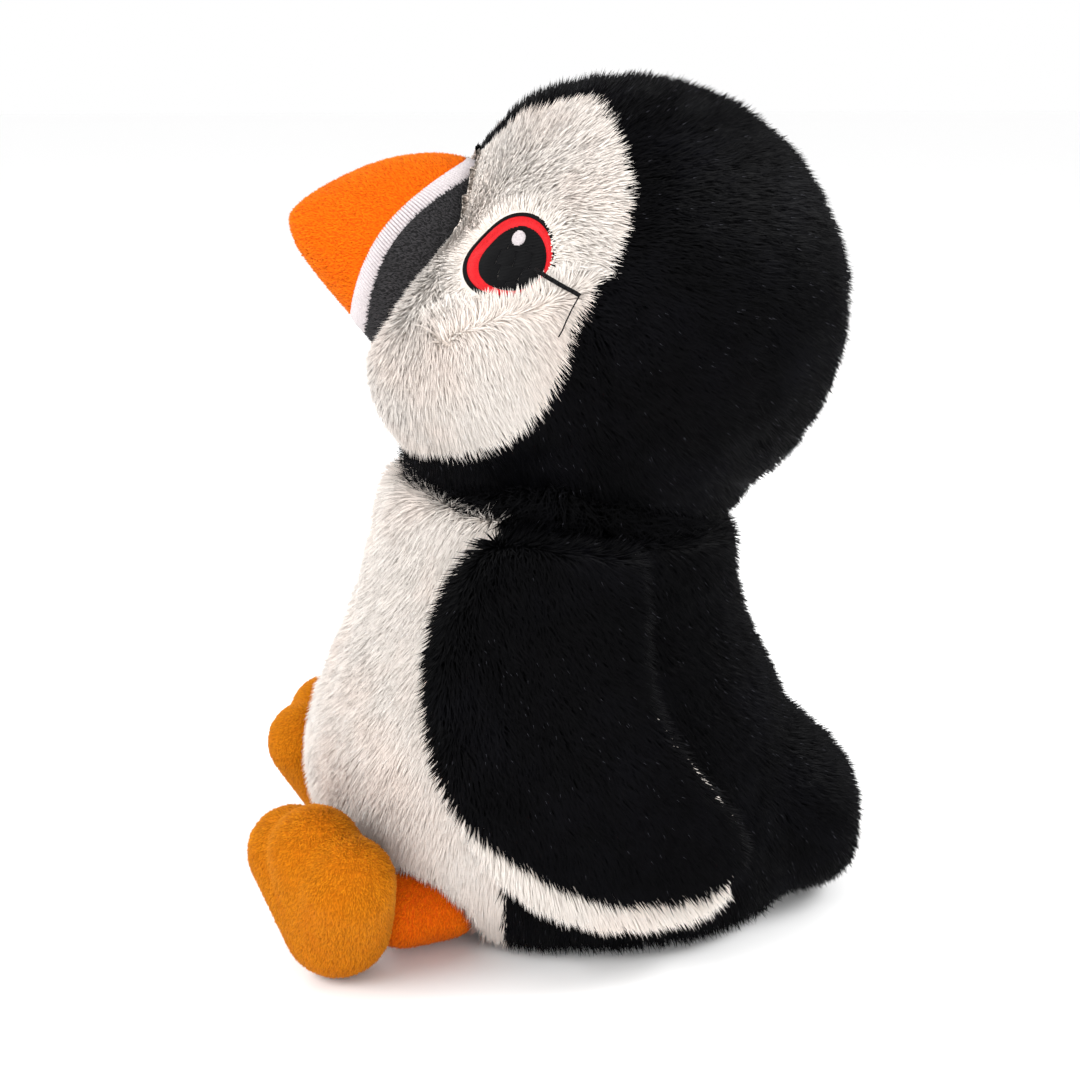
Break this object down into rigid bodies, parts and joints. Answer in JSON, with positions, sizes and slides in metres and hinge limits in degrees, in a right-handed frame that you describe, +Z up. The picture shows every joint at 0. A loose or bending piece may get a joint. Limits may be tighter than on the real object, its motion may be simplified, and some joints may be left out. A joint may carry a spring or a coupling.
{
  "type": "plush puffin",
  "caption": "Seated plush bird with a round head, broad blunt beak, soft hanging wings, rounded tail and stuffed feet; the head, wings, legs and feet move.",
  "frame": {"origin": "on the floor, under the middle of the bird", "axes": "+Z up, the bird faces -Y, +X is the bird's left side"},
  "size_m": [0.1722, 0.1999, 0.2675],
  "materials": {
    "white_fur": "long soft pile, off white, slightly matted",
    "black_fur": "long soft pile, black",
    "golden_plush": "short brushed pile, golden orange",
    "orange_plush": "short brushed pile, bright orange",
    "grey_plush": "short brushed pile, dark grey",
    "white_thread": "glossy embroidery thread",
    "black_thread": "glossy embroidery thread",
    "red_thread": "glossy embroidery thread",
    "fibre_fill": "loose polyester fibre",
    "pouch_cloth": "thin plain woven cloth",
    "plastic_pellets": "small plastic pellets"
  },
  "bodies": {
    "torso": {"belly_panel": "white_fur", "back_panel_left": "black_fur", "back_panel_right": "black_fur", "base_panel": "black_fur", "torso_stuffing": "fibre_fill", "bean_pouch": "pouch_cloth", "bean_pellets": "plastic_pellets", "tail_upper_panel": "black_fur", "tail_lower_panel": "black_fur", "tail_stuffing": "fibre_fill"},
    "neck": {"neck_stuffing": "fibre_fill"},
    "head": {"crown_panel": "black_fur", "face_mask_left": "white_fur", "face_mask_right": "white_fur", "head_back_panel_left": "black_fur", "head_back_panel_right": "black_fur", "chin_panel": "black_fur", "head_stuffing": "fibre_fill", "beak_grey_band": "grey_plush", "beak_white_rim": "white_thread", "beak_cover_left": "orange_plush", "beak_cover_right": "orange_plush", "beak_stuffing": "fibre_fill", "eye_outline_left": "black_thread", "eye_outline_right": "black_thread", "eye_red_ring_left": "red_thread", "eye_red_ring_right": "red_thread", "eye_pupil_left": "black_thread", "eye_pupil_right": "black_thread", "eye_highlight_left": "white_thread", "eye_highlight_right": "white_thread", "eye_corner_stitch_left": "black_thread", "eye_corner_stitch_right": "black_thread"},
    "wing_left": {"wing_outer_panel_left": "black_fur", "wing_lining_left": "white_fur", "wing_stuffing_left": "fibre_fill"},
    "leg_left": {"leg_cover_left": "orange_plush", "leg_stuffing_left": "fibre_fill"},
    "foot_left": {"foot_sole_left": "golden_plush", "foot_upper_left": "golden_plush", "foot_stuffing_left": "fibre_fill"},
    "wing_right": {"wing_outer_panel_right": "black_fur", "wing_lining_right": "white_fur", "wing_stuffing_right": "fibre_fill"},
    "leg_right": {"leg_cover_right": "orange_plush", "leg_stuffing_right": "fibre_fill"},
    "foot_right": {"foot_sole_right": "golden_plush", "foot_upper_right": "golden_plush", "foot_stuffing_right": "fibre_fill"}
  },
  "joints": [
    {"name": "head_turn", "type": "hinge", "parent": "torso", "child": "neck", "pos_m": [0, 0.002, 0.137], "axis": [0, 0.1668, 0.986], "range_deg": [-25, 25], "stiffness_Nm_per_rad": 0.9},
    {"name": "head_nod", "type": "hinge", "parent": "neck", "child": "head", "pos_m": [0, 0.002, 0.137], "axis": [1, 0, 0], "range_deg": [-8, 8], "stiffness_Nm_per_rad": 1.6},
    {"name": "wing_left_lift", "type": "hinge", "parent": "torso", "child": "wing_left", "pos_m": [0.0525, 0, 0.1405], "axis": [0, -1, 0], "range_deg": [0, 50]},
    {"name": "leg_left_swing", "type": "hinge", "parent": "torso", "child": "leg_left", "pos_m": [0.0373, -0.0385, 0.0156], "axis": [0, 0, 1], "range_deg": [-5, 20], "stiffness_Nm_per_rad": 0.2},
    {"name": "foot_left_tip", "type": "hinge", "parent": "leg_left", "child": "foot_left", "pos_m": [0.0424, -0.0513, 0.0156], "axis": [0.8191, 0.5736, 0], "range_deg": [-4, 25], "stiffness_Nm_per_rad": 0.2},
    {"name": "wing_right_lift", "type": "hinge", "parent": "torso", "child": "wing_right", "pos_m": [-0.0525, 0, 0.1405], "axis": [0, 1, 0], "range_deg": [0, 50]},
    {"name": "leg_right_swing", "type": "hinge", "parent": "torso", "child": "leg_right", "pos_m": [-0.0373, -0.0385, 0.0156], "axis": [0, 0, -1], "range_deg": [-5, 20], "stiffness_Nm_per_rad": 0.2},
    {"name": "foot_right_tip", "type": "hinge", "parent": "leg_right", "child": "foot_right", "pos_m": [-0.0424, -0.0513, 0.0156], "axis": [0.8191, -0.5736, 0], "range_deg": [-4, 25], "stiffness_Nm_per_rad": 0.2}
  ]
}
